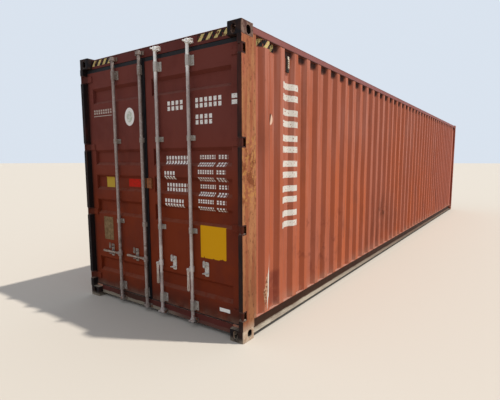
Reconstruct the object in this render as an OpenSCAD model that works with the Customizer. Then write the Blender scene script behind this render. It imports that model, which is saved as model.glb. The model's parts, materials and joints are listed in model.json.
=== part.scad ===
// Forty-foot high-cube shipping container.
// X runs along the box with the doors at the low end, Y runs across it, and Z is up.
// The origin is on the ground, midway between the four bottom corner castings.
// Depths are measured inwards from the end plane, and insets inwards from the side plane.

/* [Envelope] */
// Length over the corner castings
length = 12192; // [6058:1:13716]
// Width over the corner castings
width = 2438; // [2400:1:2500]
// Height over the corner castings
height = 2896; // [2800:1:3000]

/* [Corner castings] */
// Length of a corner casting along the box
casting_l = 178; // [170:1:190]
// Width of a corner casting across the box
casting_w = 162; // [150:1:175]
// Height of a corner casting
casting_h = 118; // [115:1:130]
// Thickness of the upright walls of a casting
casting_wall = 15; // [10:1:20]
// Thickness of the wall that holds the lifting slot
casting_base = 28.5; // [20:0.5:30]
// Radius of the casting's upright edges
casting_round = 12; // [6:1:14]
// Length of the lifting slot
slot_l = 124.5; // [110:0.5:130]
// Width of the lifting slot
slot_w = 63.5; // [50:0.5:70]
// Distance from the end plane to the middle of the lifting slot
slot_from_end = 103.5; // [100:0.5:106]
// Distance from the side plane to the middle of the lifting slot
slot_from_side = 89.5; // [80:0.5:92]
// Width of the hole in a casting's long side
side_hole_w = 63.5; // [50:0.5:70]
// Width of the hole in a casting's end
end_hole_w = 51; // [40:0.5:60]
// Height of the side and end holes
side_hole_h = 79.5; // [70:0.5:80]

/* [Frame] */
// Plate thickness of the corner posts
post_plate = 6; // [4:0.5:8]
// Width of a corner post across the box
post_w = 50; // [48:1:56]
// Depth of the front corner posts along the box
front_post_l = 110; // [90:1:140]
// Wall of the header and sill sections
beam_wall = 4; // [3:0.5:6]
// Depth of the door recess, from the end plane to the face of the leaves
recess = 56; // [54:1:60]
// Depth of the door header and sill behind the recess
beam_l = 116; // [112:1:120]
// Height of the door header
header_h = 98; // [90:1:105]
// Height of the door sill above the ground at its lower edge
sill_z = 40; // [30:1:50]
// Height of the door sill section
sill_h = 100; // [95:1:102]
// Height and width of the top side rail
top_rail = 60; // [50:1:62]
// Wall of the top side rail
top_rail_wall = 3; // [2:0.5:5]
// Height of the bottom side rail
bottom_rail_h = 144; // [140:1:165]
// Height of the bottom side rail above the ground
bottom_rail_z = 42; // [35:1:45]
// Width of the bottom side rail's flanges
bottom_rail_w = 53; // [45:1:60]
// Plate thickness of the bottom side rail
bottom_rail_plate = 4.5; // [3:0.5:6]

/* [Walls and roof] */
// Sheet thickness of walls and roof
sheet = 2; // [1.6:0.1:3]
// Distance from the side plane to the outermost face of the side wall
side_inset = 7; // [5:0.5:10]
// Depth of the side wall's corrugation
side_depth = 36; // [25:1:38]
// Width of an outer face of the side wall
side_face = 73; // [60:1:90]
// Width of an inner face of the side wall
side_valley = 70; // [60:1:90]
// Width of a sloping face of the side wall
side_slope = 68; // [40:1:75]
// Distance from the door end to the first outer face
first_face_from_end = 370; // [345:1:400]
// Width of the flat beside the door posts, level with the outer faces
first_flat = 47; // [30:1:50]
// Width of the step behind that flat
first_step = 24; // [16:1:26]
// Distance from the end plane to the outermost face of the end wall
end_inset = 8; // [5:0.5:12]
// Depth of the end wall's corrugation
end_depth = 44; // [30:1:46]
// Width of an outer face of the end wall
end_face = 110; // [90:1:130]
// Width of an inner face of the end wall
end_valley = 104; // [80:1:130]
// Width of a sloping face of the end wall
end_slope = 18; // [12:1:30]
// Depth of the troughs pressed into the roof
roof_depth = 20; // [12:1:25]
// Distance from one roof trough to the next
roof_pitch = 209; // [180:1:260]
// Width of a roof trough at its bottom
roof_trough = 64; // [40:1:80]
// Width of a trough's sloping side
roof_slope = 14; // [8:1:20]
// Distance from the side plane to the end of a roof trough
trough_inset = 120; // [90:1:200]
// Thickness of the plates between the top castings
corner_plate = 3; // [2:0.5:4]

/* [Floor] */
// Height of the floor's upper surface above the ground
floor_z = 172; // [160:1:180]
// Thickness of the floor sheets
floor_t = 28; // [19:1:30]
// Number of floor sheets along the box
sheets_along = 5; // [3:1:8]
// Gap between neighbouring floor sheets
sheet_gap = 3; // [1:0.5:6]
// Height of a cross member
cross_h = 122; // [100:1:122]
// Width of a cross member's flanges
cross_w = 45; // [35:1:60]
// Plate thickness of a cross member
cross_plate = 4.5; // [3:0.5:6]
// Distance from one cross member to the next
cross_pitch = 305; // [250:1:400]

/* [Door leaves] */
// Thickness of a leaf
leaf_t = 50; // [45:1:50]
// Plate thickness of the leaf frame
leaf_wall = 3; // [2:0.5:5]
// Width of a leaf's upright frame members
stile_w = 100; // [80:1:110]
// Height of a leaf's top and bottom frame members
rail_h = 150; // [110:1:160]
// Gap between a corner post and the edge of its leaf
leaf_edge_gap = 8; // [7:0.5:10]
// Gap between the sill and the lower edge of the leaves
leaf_bottom_gap = 12; // [10:1:16]
// Gap between the header and the upper edge of the leaves
leaf_top_gap = 43; // [30:1:45]
// Distance from the middle of the box to the middle of the seam between the leaves
seam_y = 119; // [100:1:122]
// Width of the seam between the leaves' steel edges
seam_w = 27; // [25:1:32]
// Depth of the pressings in the leaf sheets
press_depth = 36; // [20:1:40]
// Height of a pressing at the face of the sheet, as a share of the leaf's height
press_share = 0.07; // [0.06:0.001:0.08]
// Height of a pressing's sloping edge
press_slope = 32; // [20:1:40]
// Distance from the middle pressing to the ones next to it, as a share of the leaf's height
press_near = 0.114; // [0.1:0.001:0.13]
// Distance from the middle pressing to the outermost ones, as a share of the leaf's height
press_far = 0.393; // [0.38:0.001:0.397]
// Free space kept round the rubber seals
seal_gap = 5.5; // [5:0.5:7]
// Space kept between the two seals in the seam
seam_gap = 11; // [10:0.5:16]
// How far the seam seals stand out of the leaf's face
seal_proud = 14; // [5:1:16]

/* [Hinges] */
// Distance from the corner of the box to the hinge pin, both ways
pin_inset = 14; // [13:0.5:16]
// Radius of a hinge pin
pin_r = 8; // [6:0.5:9]
// Radius of a hinge knuckle
knuckle_r = 13; // [11:0.5:13]
// Running clearance round a pin and over a knuckle
pin_play = 0.3; // [0.2:0.05:1]
// Height of a hinge blade
blade_h = 70; // [50:1:80]
// Thickness of a hinge blade
blade_t = 12; // [8:1:12]
// Length of a hinge blade along its leaf
blade_l = 96; // [80:1:100]
// Thickness of a hinge lug
lug_t = 12; // [8:1:16]
// Space above and below a hinge blade
lug_play = 0.5; // [0.3:0.1:2]
// Heights of the hinges above the ground, as shares of the box's height
hinge_shares = [0.09, 0.371, 0.643, 0.9195];

/* [Locking gear] */
// Radius of a locking bar
bar_r = 17; // [12:0.5:19]
// Depth of the bars' centre lines inside the end plane
bar_depth = 24; // [23:0.5:26]
// Distance from the middle of the bar set to the inner bars
inner_bar_y = 128; // [120:1:140]
// Distance from the middle of the bar set to the outer bars
outer_bar_y = 584; // [540:1:620]
// Distance from the middle of the box to the middle of the bar set, towards the seam
bar_shift = 30; // [20:1:40]
// Distance from the ground to the lower end of a bar, and from the top of the box to its upper end
bar_end_gap = 48; // [40:1:60]
// Play between a bar and its brackets
bar_play = 0.4; // [0.2:0.1:1]
// Wall of the bracket round a bar
bracket_wall = 5; // [4:0.5:6]
// Thickness of the plates that brackets and retainers stand on
foot_t = 6; // [4:0.5:8]
// Width of a bracket's foot
bracket_foot_w = 116; // [90:1:130]
// Height of a guide bracket
guide_h = 50; // [40:1:70]
// Height of an end bracket
end_bracket_h = 96; // [70:1:110]
// Heights of the guide brackets
guide_heights = [1000, 1920];
// Heights of the end brackets
end_bracket_heights = [222, 2650];
// Height of the cams' fingers above the ground, and below the top of the box
cam_z = 72; // [66:1:80]
// Thickness of a cam's finger
finger_t = 14; // [10:1:16]
// Reach of a cam's finger from the bar's centre line
finger_reach = 50; // [45:1:52]
// Radius of the cam's collar
cam_collar_r = 25; // [21:0.5:27]
// Height of the cam's collar
cam_collar_h = 36; // [28:1:40]
// Free space between a finger and the keeper's prongs
keeper_gap = 5; // [5:0.5:7]
// Thickness of a keeper's prong
prong_t = 9; // [6:0.5:10]
// Width of a keeper's prongs across the box
prong_w = 22; // [15:1:26]

/* [Handles] */
// Height of the handles' pivots above the ground
handle_z = 610; // [560:1:660]
// Distance from a bar's centre line to its handle's pivot
pivot_reach = 41; // [40:1:44]
// Length of a left handle from pivot to tip
left_handle_l = 292; // [250:1:310]
// Length of a right handle from pivot to tip
right_handle_l = 225; // [215:1:240]
// Height of a handle's bar
handle_h = 26; // [20:1:30]
// Thickness of a handle
handle_t = 12; // [8:1:14]
// Height of a handle's waist
waist_h = 18; // [14:1:24]
// Distance from a handle's pivot to its waist
waist_reach = 64; // [40:1:90]
// Radius of the eye round the pivot
eye_r = 14; // [13.5:0.5:15]
// Radius of the pivot pin
pivot_r = 6; // [4:0.5:8]
// Thickness of the hub's cheeks
cheek_t = 4; // [3:0.5:5]
// Space between a handle and the hub's cheeks
cheek_play = 1; // [0.5:0.1:2]
// Height of the hub on the bar
hub_h = 56; // [40:1:70]
// Wall of the hub round the bar
hub_wall = 7; // [5:0.5:9]
// Angle through which the right door's bars are turned out
turned_out = 110; // [90:1:120]
// Distance from a bar's centre line to the middle of its retainer
retainer_reach = 180; // [170:1:200]
// Width of a retainer
retainer_w = 52; // [44:1:64]
// Free space between a handle and the parts round it
handle_gap = 5; // [5:0.5:8]
// Height of a retainer's plate
retainer_h = 146; // [140:1:160]
// Height of the catch's stud above the handle's pivot
stud_rise = 56; // [55:1:64]
// Radius of the catch's stud
stud_r = 6; // [5:0.5:7]
// Radius of the stud's head
stud_head_r = 10; // [8:0.5:12]
// Play between a catch and the head of its stud
catch_play = 0.5; // [0.3:0.1:1]
// Thickness of the stud's head
stud_head_t = 3; // [2:0.5:4]
// Rounding of a retainer's corners
retainer_round = 14; // [8:1:20]
// Length of a catch
catch_l = 56; // [46:1:64]
// Width of a catch
catch_w = 34; // [28:1:40]
// Thickness of a catch
catch_t = 4; // [3:0.5:5]
// Height of the middle of the plate beside the seam
seam_plate_z = 1458; // [1400:1:1500]
// Height of the plate beside the seam
seam_plate_h = 110; // [80:1:130]
// Width of the plate beside the seam
seam_plate_w = 76; // [60:1:90]
// Thickness of the plate beside the seam
seam_plate_t = 5; // [3:0.5:8]

/* [Vents] */
// Distance from the top of the box to a vent's middle
vent_drop = 213; // [206:1:296]
// Width of a vent
vent_w = 50; // [40:1:56]
// How far a vent stands out of the valley that it sits in
vent_t = 28; // [15:1:32]
// Number of the valley that holds the vent, counted from the door end
vent_valley = 2; // [1:1:6]
// Height of a vent
vent_h = 160; // [120:1:170]

/* [Hidden] */
$fn = 48;
through = 1;
body_red = [0.50, 0.22, 0.17];
rail_red = [0.42, 0.18, 0.14];
bar_grey = [0.60, 0.58, 0.54];
cast_grey = [0.55, 0.49, 0.43];
rubber_black = [0.06, 0.06, 0.06];
plywood = [0.47, 0.33, 0.21];
vent_grey = [0.75, 0.73, 0.70];

half_l = length / 2;
half_w = width / 2;
clear_half_l = half_l - casting_l;
clear_half_w = half_w - casting_w;
post_top_z = height - casting_h;
header_top_z = post_top_z + header_h;
sill_top_z = sill_z + sill_h;
wall_foot_z = bottom_rail_z + bottom_rail_h;
rail_foot_z = header_top_z - top_rail;
rail_web_inset = side_inset + bottom_rail_w;
floor_half_w = half_w - rail_web_inset - bottom_rail_plate;
threshold_depth = recess + leaf_t + seal_gap;
beam_back = recess + beam_l;
front_beam_back = end_inset + end_depth + sheet;

leaf_foot_z = sill_top_z + leaf_bottom_gap;
leaf_top_z = post_top_z - leaf_top_gap;
leaf_mid_z = (leaf_foot_z + leaf_top_z) / 2;
leaf_edge_y = half_w - post_w - leaf_edge_gap;
seal_t = (seam_w - seam_gap) / 2;
leaf_h = leaf_top_z - leaf_foot_z;
press_h = press_share * leaf_h;
hinge_heights = [for (share = hinge_shares) share * height];
hole_z = casting_base + side_hole_h / 2;
notch_h = blade_h + 2 * (lug_play + lug_t);
notch_depth = recess + 2;
gear_front = bar_depth - bar_r - bar_play - bracket_wall;
handle_foot_z = handle_z - handle_h / 2;
ledge_z = handle_foot_z - handle_gap;
catch_front = bar_depth - handle_t / 2 - handle_gap - catch_t;
// Distances of the bars from the middle of the box, inner bar first
right_bars = [inner_bar_y - bar_shift, outer_bar_y - bar_shift];
left_bars = [inner_bar_y + bar_shift, outer_bar_y + bar_shift];

// A plane outline with round ends, l long along X and w wide
module slot_outline(l, w) {
    square([l - w, w], center = true);
    for (side = [-1, 1]) {
        translate([side * (l - w) / 2, 0]) circle(d = w);
    }
}

// A rectangle with its low corner at the origin and all corners rounded
module rounded_outline(l, w, r) {
    translate([r, 0]) square([l - 2 * r, w]);
    translate([0, r]) square([l, w - 2 * r]);
    for (x = [r, l - r], y = [r, w - r]) {
        translate([x, y]) circle(r);
    }
}

// A hollow rectangle with its low corner at the origin
module tube_outline(l, w, wall) {
    difference() {
        square([l, w]);
        translate([wall, wall]) square([l - 2 * wall, w - 2 * wall]);
    }
}

// Extrudes an outline drawn in X and Z along Y, centred
module along_y(l) {
    rotate([90, 0, 0]) linear_extrude(l, center = true) children();
}

// Extrudes an outline drawn in Y and Z along X, centred
module along_x(l) {
    rotate([90, 0, 90]) linear_extrude(l, center = true) children();
}

module on_both_sides() {
    children();
    mirror([0, 1, 0]) children();
}

module at_both_ends() {
    children();
    mirror([1, 0, 0]) children();
}

// Moves to the low corner at the door end on the -Y side, X as depth and Y as inset
module door_corner() {
    translate([-half_l, -half_w, 0]) children();
}

// The outline of a sheet that follows a path, one sheet thick
function sheet_outline(path, shift) =
    concat(path, [for (i = [len(path) - 1 : -1 : 0]) path[i] + shift]);

// Corner castings

module corner_casting() {
    difference() {
        linear_extrude(casting_h) rounded_outline(casting_l, casting_w, casting_round);
        translate([casting_wall, casting_wall, casting_base])
            cube([casting_l - 2 * casting_wall, casting_w - 2 * casting_wall, side_hole_h]);
        translate([slot_from_end, slot_from_side, -through])
            linear_extrude(casting_base + 2 * through) slot_outline(slot_l, slot_w);
        translate([slot_from_end, casting_wall / 2, hole_z])
            along_y(casting_wall + 2 * through) rotate(90) slot_outline(side_hole_h, side_hole_w);
        translate([casting_wall / 2, slot_from_side, hole_z])
            along_x(casting_wall + 2 * through) rotate(90) slot_outline(side_hole_h, end_hole_w);
    }
}

module bottom_corner_castings() {
    color(cast_grey) at_both_ends() on_both_sides() door_corner() corner_casting();
}

module top_corner_castings() {
    color(cast_grey) translate([0, 0, height]) mirror([0, 0, 1])
        at_both_ends() on_both_sides() door_corner() corner_casting();
}

// End frames

module hinge_notch() {
    translate([-through, -through, -notch_h / 2])
        cube([notch_depth + through, post_w + 2 * through, notch_h]);
}

module door_posts() {
    color(body_red) on_both_sides() door_corner() difference() {
        translate([0, 0, casting_h]) linear_extrude(post_top_z - casting_h)
            tube_outline(casting_l, post_w, post_plate);
        for (z = hinge_heights) translate([0, 0, z]) hinge_notch();
    }
}

module front_posts() {
    color(body_red) mirror([1, 0, 0]) on_both_sides() door_corner()
        translate([0, 0, casting_h]) linear_extrude(post_top_z - casting_h) {
            tube_outline(front_post_l, post_w, post_plate);
            translate([front_post_l, side_inset + side_depth])
                square([casting_l - front_post_l, post_plate]);
        }
}

module door_header() {
    color(body_red) translate([-half_l + recess, 0, post_top_z])
        along_y(2 * clear_half_w) tube_outline(beam_l, header_h, beam_wall);
}

module door_sill() {
    inner_half_w = half_w - post_w;
    color(rail_red) {
        translate([-half_l + recess, 0, sill_z])
            along_y(2 * clear_half_w) tube_outline(beam_l, sill_h, beam_wall);
        translate([-half_l + threshold_depth, -clear_half_w, sill_top_z - beam_wall])
            cube([beam_back - threshold_depth, 2 * clear_half_w, floor_z - sill_top_z]);
        translate([-half_l + threshold_depth, -inner_half_w, sill_top_z])
            cube([beam_back - threshold_depth, 2 * inner_half_w, floor_z - sill_top_z]);
    }
}

module front_rails() {
    beam_l = front_beam_back - end_inset;
    color(body_red) translate([half_l - front_beam_back, 0, 0]) {
        translate([0, 0, post_top_z])
            along_y(2 * clear_half_w) tube_outline(beam_l, header_h, beam_wall);
        translate([0, 0, sill_z])
            along_y(2 * clear_half_w) tube_outline(beam_l, floor_z - sill_z, beam_wall);
    }
}

// Plates that close the frame over the castings and between them
module frame_plates() {
    bridge_w = casting_w - post_w;
    color(body_red) {
        translate([-half_l + recess, -clear_half_w, header_top_z])
            cube([casting_l - recess, 2 * clear_half_w, corner_plate]);
        translate([clear_half_l, -clear_half_w, header_top_z])
            cube([casting_l - end_inset, 2 * clear_half_w, corner_plate]);
        on_both_sides() {
            translate([-half_l + recess, clear_half_w, casting_h])
                cube([beam_l, bridge_w, sill_top_z - casting_h]);
            translate([half_l - front_beam_back, clear_half_w, casting_h])
                cube([front_beam_back - end_inset, bridge_w, floor_z - casting_h]);
        }
    }
}

// Side rails

module top_side_rails() {
    color(body_red) on_both_sides() translate([0, -half_w + side_inset, rail_foot_z])
        along_x(2 * clear_half_l) tube_outline(top_rail, top_rail, top_rail_wall);
}

module bottom_side_rails() {
    color(rail_red) on_both_sides() translate([0, -half_w + side_inset, bottom_rail_z])
        along_x(2 * clear_half_l) {
            square([bottom_rail_w, bottom_rail_plate]);
            translate([0, bottom_rail_h - bottom_rail_plate])
                square([bottom_rail_w, bottom_rail_plate]);
            translate([bottom_rail_w, 0]) square([bottom_rail_plate, bottom_rail_h]);
        }
}

// Walls

side_pitch = side_face + side_valley + 2 * side_slope;
first_face_x = -half_l + first_face_from_end;
side_waves = floor((clear_half_l - first_face_x) / side_pitch);

function side_wave(x) = [
    [x - side_slope, side_depth],
    [x, 0],
    [x + side_face, 0],
    [x + side_face + side_slope, side_depth]
];

side_path = concat(
    [
        [-clear_half_l, 0],
        [-clear_half_l + first_flat, 0],
        [-clear_half_l + first_flat + first_step, side_depth]
    ],
    [for (i = [0 : side_waves - 1]) each side_wave(first_face_x + i * side_pitch)],
    [[clear_half_l, side_depth]]
);

module side_wall() {
    translate([0, -half_w + side_inset, wall_foot_z])
        linear_extrude(rail_foot_z - wall_foot_z)
        polygon(sheet_outline(side_path, [0, sheet]));
}

module right_side_wall() {
    color(body_red) side_wall();
}

module left_side_wall() {
    color(body_red) mirror([0, 1, 0]) side_wall();
}

end_pitch = end_face + end_valley + 2 * end_slope;
end_half_w = half_w - post_w;
end_waves = floor((2 * end_half_w - end_valley) / end_pitch);
end_margin = (2 * end_half_w - end_waves * end_pitch + end_valley) / 2;

function end_wave(y) = [
    [end_depth, y],
    [0, y + end_slope],
    [0, y + end_slope + end_face],
    [end_depth, y + 2 * end_slope + end_face]
];

end_path = concat(
    [[end_depth, -end_half_w]],
    [for (i = [0 : end_waves - 1]) each end_wave(-end_half_w + end_margin + i * end_pitch)],
    [[end_depth, end_half_w]]
);

module end_wall() {
    color(body_red) mirror([1, 0, 0]) translate([-half_l + end_inset, 0, floor_z])
        linear_extrude(post_top_z - floor_z)
        polygon(sheet_outline(end_path, [sheet, 0]));
}

// Roof

roof_troughs = floor((2 * clear_half_l - roof_trough) / roof_pitch);
roof_margin = (2 * clear_half_l - (roof_troughs - 1) * roof_pitch) / 2;

function trough(x, drop) = [
    [x - roof_trough / 2 - roof_slope, 0],
    [x - roof_trough / 2, -drop],
    [x + roof_trough / 2, -drop],
    [x + roof_trough / 2 + roof_slope, 0]
];

roof_path = concat(
    [[-clear_half_l, 0]],
    [for (i = [0 : roof_troughs - 1])
        each trough(-clear_half_l + roof_margin + i * roof_pitch, roof_depth)],
    [[clear_half_l, 0]]
);
roof_cap = concat(roof_path, [[clear_half_l, sheet], [-clear_half_l, sheet]]);

module roof_panel() {
    trough_half_w = half_w - trough_inset;
    edge_w = trough_inset - side_inset;
    color(body_red) translate([0, 0, header_top_z]) {
        along_y(2 * trough_half_w) polygon(sheet_outline(roof_path, [0, sheet]));
        on_both_sides() {
            translate([0, -trough_half_w - sheet / 2, 0]) along_y(sheet) polygon(roof_cap);
            translate([-clear_half_l, -half_w + side_inset, 0])
                cube([2 * clear_half_l, edge_w, sheet]);
        }
    }
}

// Floor

floor_start = -half_l + beam_back;
floor_l = length - beam_back - front_beam_back;
sheet_l = (floor_l - (sheets_along - 1) * sheet_gap) / sheets_along;

module floor_sheets() {
    sheet_w = floor_half_w - sheet_gap / 2;
    color(plywood) on_both_sides()
        for (i = [0 : sheets_along - 1])
            translate([floor_start + i * (sheet_l + sheet_gap), -floor_half_w, floor_z - floor_t])
                cube([sheet_l, sheet_w, floor_t]);
}

cross_count = floor((2 * clear_half_l - cross_w) / cross_pitch) + 1;
cross_start = -(cross_count - 1) * cross_pitch / 2;

module cross_members() {
    color(rail_red) for (i = [0 : cross_count - 1])
        translate([cross_start + i * cross_pitch - cross_w / 2, 0, floor_z - floor_t - cross_h])
            along_y(2 * floor_half_w) {
                square([cross_w, cross_plate]);
                translate([0, cross_h - cross_plate]) square([cross_w, cross_plate]);
                square([cross_plate, cross_h]);
            }
}

// Hinges

module hinge_lugs() {
    color(rail_red) on_both_sides() door_corner()
        for (z = hinge_heights) translate([0, 0, z]) {
            for (side = [-1, 1])
                translate([0, 0, side * (notch_h - lug_t) / 2 - lug_t / 2])
                    linear_extrude(lug_t)
                    rounded_outline(notch_depth, post_w, pin_inset - 1);
            translate([pin_inset, pin_inset, -notch_h / 2])
                cylinder(notch_h, r = pin_r);
        }
}

// A hinge blade seen from above: a knuckle, an arm to the leaf and a flat on its face
module blade_outline() {
    foot_y = post_w + leaf_edge_gap;
    difference() {
        union() {
            translate([pin_inset, pin_inset]) circle(knuckle_r);
            polygon([
                [pin_inset, pin_inset + knuckle_r],
                [pin_inset + knuckle_r, pin_inset],
                [recess, foot_y],
                [recess, foot_y + blade_l],
                [recess - blade_t, foot_y + blade_l],
                [recess - blade_t, foot_y + blade_t]
            ]);
        }
        translate([pin_inset, pin_inset]) circle(pin_r + pin_play);
    }
}

module door_hinges() {
    for (z = hinge_heights)
        door_corner() translate([0, 0, z - blade_h / 2])
            linear_extrude(blade_h) blade_outline();
}

// Door leaves, drawn for the -Y side with the free edge at free_y

module leaf_frame(free_y) {
    w = leaf_edge_y + free_y;
    translate([-half_l + recess, -leaf_edge_y, 0]) {
        for (y = [0, w - stile_w])
            translate([0, y, leaf_foot_z])
                linear_extrude(leaf_h)
                tube_outline(leaf_t, stile_w, leaf_wall);
        for (z = [leaf_foot_z, leaf_top_z - rail_h])
            translate([0, w / 2, z]) along_y(w - 2 * stile_w)
                tube_outline(leaf_t, rail_h, leaf_wall);
    }
}

press_zs = [for (share = [-press_far, -press_near, 0, press_near, press_far]) leaf_mid_z + share * leaf_h];

function pressing(z) = [
    [0, z - press_h / 2],
    [press_depth, z - press_h / 2 + press_slope],
    [press_depth, z + press_h / 2 - press_slope],
    [0, z + press_h / 2]
];

leaf_path = concat(
    [[0, leaf_foot_z + rail_h]],
    [for (z = press_zs) each pressing(z)],
    [[0, leaf_top_z - rail_h]]
);

module leaf_panel(free_y) {
    w = leaf_edge_y + free_y - 2 * stile_w;
    translate([-half_l + recess, -leaf_edge_y + stile_w + w / 2, 0])
        along_y(w) polygon(sheet_outline(leaf_path, [sheet, 0]));
}

module leaf_seal(free_y) {
    w = leaf_edge_y + free_y;
    foot = leaf_foot_z - sill_top_z - seal_gap;
    top = leaf_top_gap - seal_gap;
    edge = leaf_edge_gap - seal_gap;
    translate([-half_l + recess, -leaf_edge_y, leaf_foot_z]) {
        translate([0, -edge, -foot]) cube([leaf_t, w + edge + seal_t, foot]);
        translate([0, -edge, leaf_h]) cube([leaf_t, w + edge + seal_t, top]);
        translate([0, -edge, 0]) cube([leaf_t, edge, leaf_h]);
        translate([-seal_proud, w, -foot]) cube([leaf_t + seal_proud, seal_t, leaf_h + foot + top]);
    }
}

right_free_y = seam_y - seam_w / 2;
left_free_y = -seam_y - seam_w / 2;

module right_door_frame() {
    color(body_red) leaf_frame(right_free_y);
}

module left_door_frame() {
    color(body_red) mirror([0, 1, 0]) leaf_frame(left_free_y);
}

module right_door_panel() {
    color(body_red) leaf_panel(right_free_y);
}

module left_door_panel() {
    color(body_red) mirror([0, 1, 0]) leaf_panel(left_free_y);
}

module right_door_seal() {
    color(rubber_black) leaf_seal(right_free_y);
}

module left_door_seal() {
    color(rubber_black) mirror([0, 1, 0]) leaf_seal(left_free_y);
}

module right_door_hinges() {
    color(rail_red) door_hinges();
}

module left_door_hinges() {
    color(rail_red) mirror([0, 1, 0]) door_hinges();
}

module seam_plate() {
    reach = right_free_y + seal_t;
    base = reach - seam_plate_w;
    color(rail_red)
        translate([-half_l + recess - seal_proud - seam_plate_t, base, seam_plate_z - seam_plate_h / 2]) {
            cube([seam_plate_t, seam_plate_w, seam_plate_h]);
            cube([seam_plate_t + seal_proud, right_free_y - base, seam_plate_h]);
        }
}

// Locking gear. Each bar is drawn with its centre line on Z at the origin,
// the leaf towards +X and the hinge side of its leaf towards -Y.

// A bracket that holds a bar, h tall, its foot reaching foot_in towards the seam
module bar_bracket(h, foot_in) {
    bore_r = bar_r + bar_play;
    face = recess - bar_depth;
    outer_r = bore_r + bracket_wall;
    translate([0, 0, -h / 2]) linear_extrude(h) difference() {
        union() {
            circle(outer_r);
            translate([0, -outer_r]) square([face, 2 * outer_r]);
            translate([face - foot_t, -bracket_foot_w / 2])
                square([foot_t, bracket_foot_w / 2 + foot_in]);
        }
        circle(bore_r);
    }
}

module bar_brackets(bars, free_y) {
    for (y = bars) place_bar(-y) {
        foot_in = min(bracket_foot_w / 2, y + free_y);
        for (z = guide_heights) translate([0, 0, z]) bar_bracket(guide_h, foot_in);
        for (z = end_bracket_heights) translate([0, 0, z]) bar_bracket(end_bracket_h, foot_in);
    }
}

// A retainer: a plate on the leaf, a ledge under the handle and a headed stud for the catch
module retainer() {
    face = recess - bar_depth;
    plate_z = ledge_z - foot_t - (retainer_h - stud_rise - handle_h) / 2;
    lip_front = catch_front - bar_depth;
    head_front = lip_front - catch_play - stud_head_t;
    translate([face - foot_t / 2, -retainer_w / 2, plate_z])
        along_x(foot_t) rounded_outline(retainer_w, retainer_h, retainer_round);
    translate([lip_front, -retainer_w / 2, ledge_z - foot_t]) cube([face - lip_front, retainer_w, foot_t]);
    translate([0, 0, handle_z + stud_rise]) rotate([0, 90, 0]) {
        translate([0, 0, head_front]) cylinder(face - head_front, r = stud_r);
        translate([0, 0, head_front]) cylinder(stud_head_t, r = stud_head_r);
    }
}

module handle_retainers(bars) {
    for (y = bars) place_bar(-y - retainer_reach) retainer();
}

module right_door_fittings() {
    color(bar_grey) {
        bar_brackets(right_bars, right_free_y);
        handle_retainers(right_bars);
    }
}

module left_door_fittings() {
    color(bar_grey) mirror([0, 1, 0]) {
        bar_brackets(left_bars, left_free_y);
        handle_retainers(left_bars);
    }
}

// A forged cam: a collar, the rounded end of the bar and a tapered finger
module cam() {
    tip_r = bar_r / 2;
    translate([0, 0, -cam_collar_h / 2]) cylinder(cam_collar_h, r = cam_collar_r);
    translate([0, 0, bar_end_gap - cam_z]) cylinder(cam_collar_h / 2, r = bar_r);
    translate([0, 0, -finger_t / 2]) linear_extrude(finger_t) {
        polygon([
            [-bar_r, 0],
            [bar_r, 0],
            [tip_r, tip_r - finger_reach],
            [-tip_r, tip_r - finger_reach]
        ]);
        translate([0, tip_r - finger_reach]) circle(tip_r);
    }
}

module cam_pair() {
    translate([0, 0, cam_z]) cam();
    translate([0, 0, height - cam_z]) mirror([0, 0, 1]) cam();
}

// The hub that carries the handle: a collar, two cheeks and a pin between them
module hub() {
    inner = handle_t / 2 + cheek_play;
    translate([0, 0, handle_z - hub_h / 2]) cylinder(hub_h, r = bar_r + hub_wall);
    for (side = [-1, 1])
        translate([side * (inner + cheek_t / 2), 0, handle_z]) along_x(cheek_t) {
            translate([-pivot_reach, 0]) circle(eye_r);
            translate([-pivot_reach, -eye_r]) square([pivot_reach, 2 * eye_r]);
        }
    translate([0, -pivot_reach, handle_z]) along_x(2 * (inner + cheek_t)) circle(pivot_r);
}

module bar_in_lock() {
    foot_z = cam_z + cam_collar_h / 2;
    translate([0, 0, foot_z]) cylinder(height - 2 * foot_z, r = bar_r);
    hub();
}

// A handle in lock, l long: its pivot at the origin and its tip towards -Y
module handle_in_lock(l) {
    grip = l - handle_h / 2;
    along_x(handle_t) difference() {
        union() {
            circle(eye_r - 1);
            polygon([
                [0, eye_r - 1],
                [-waist_reach, waist_h / 2],
                [-grip, handle_h / 2],
                [-grip, -handle_h / 2],
                [-waist_reach, -waist_h / 2],
                [0, 1 - eye_r]
            ]);
            translate([-grip, 0]) circle(d = handle_h);
        }
        circle(pivot_r + pin_play);
    }
}

module place_bar(y) {
    translate([-half_l + bar_depth, y, 0]) children();
}

module left_bar(y) {
    color(bar_grey) place_bar(y) mirror([0, 1, 0]) bar_in_lock();
}

module right_bar(y) {
    color(bar_grey) place_bar(y) rotate(-turned_out) bar_in_lock();
}

module left_cams(y) {
    color(bar_grey) place_bar(y) mirror([0, 1, 0]) cam_pair();
}

module right_cams(y) {
    color(bar_grey) place_bar(y) rotate(-turned_out) cam_pair();
}

module left_handle(y) {
    color(bar_grey) place_bar(y) mirror([0, 1, 0])
        translate([0, -pivot_reach, handle_z]) handle_in_lock(left_handle_l);
}

module right_handle(y) {
    color(bar_grey) place_bar(y) rotate(-turned_out)
        translate([0, -pivot_reach, handle_z]) rotate([90, 0, 0]) handle_in_lock(right_handle_l);
}

module catch_raised() {
    translate([catch_front + catch_t / 2 - bar_depth, -retainer_reach, handle_z + stud_rise])
        along_x(catch_t) difference() {
            union() {
                circle(catch_w / 2);
                translate([-catch_w / 2, 0]) square([catch_w, catch_l - catch_w / 4]);
                translate([-catch_w / 4, 0]) square([catch_w / 2, catch_l]);
            }
            circle(stud_r + pin_play);
        }
}

module right_catch(y) {
    color(bar_grey) place_bar(y) catch_raised();
}

module left_catch(y) {
    color(bar_grey) place_bar(y) mirror([0, 1, 0]) catch_raised();
}

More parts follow.
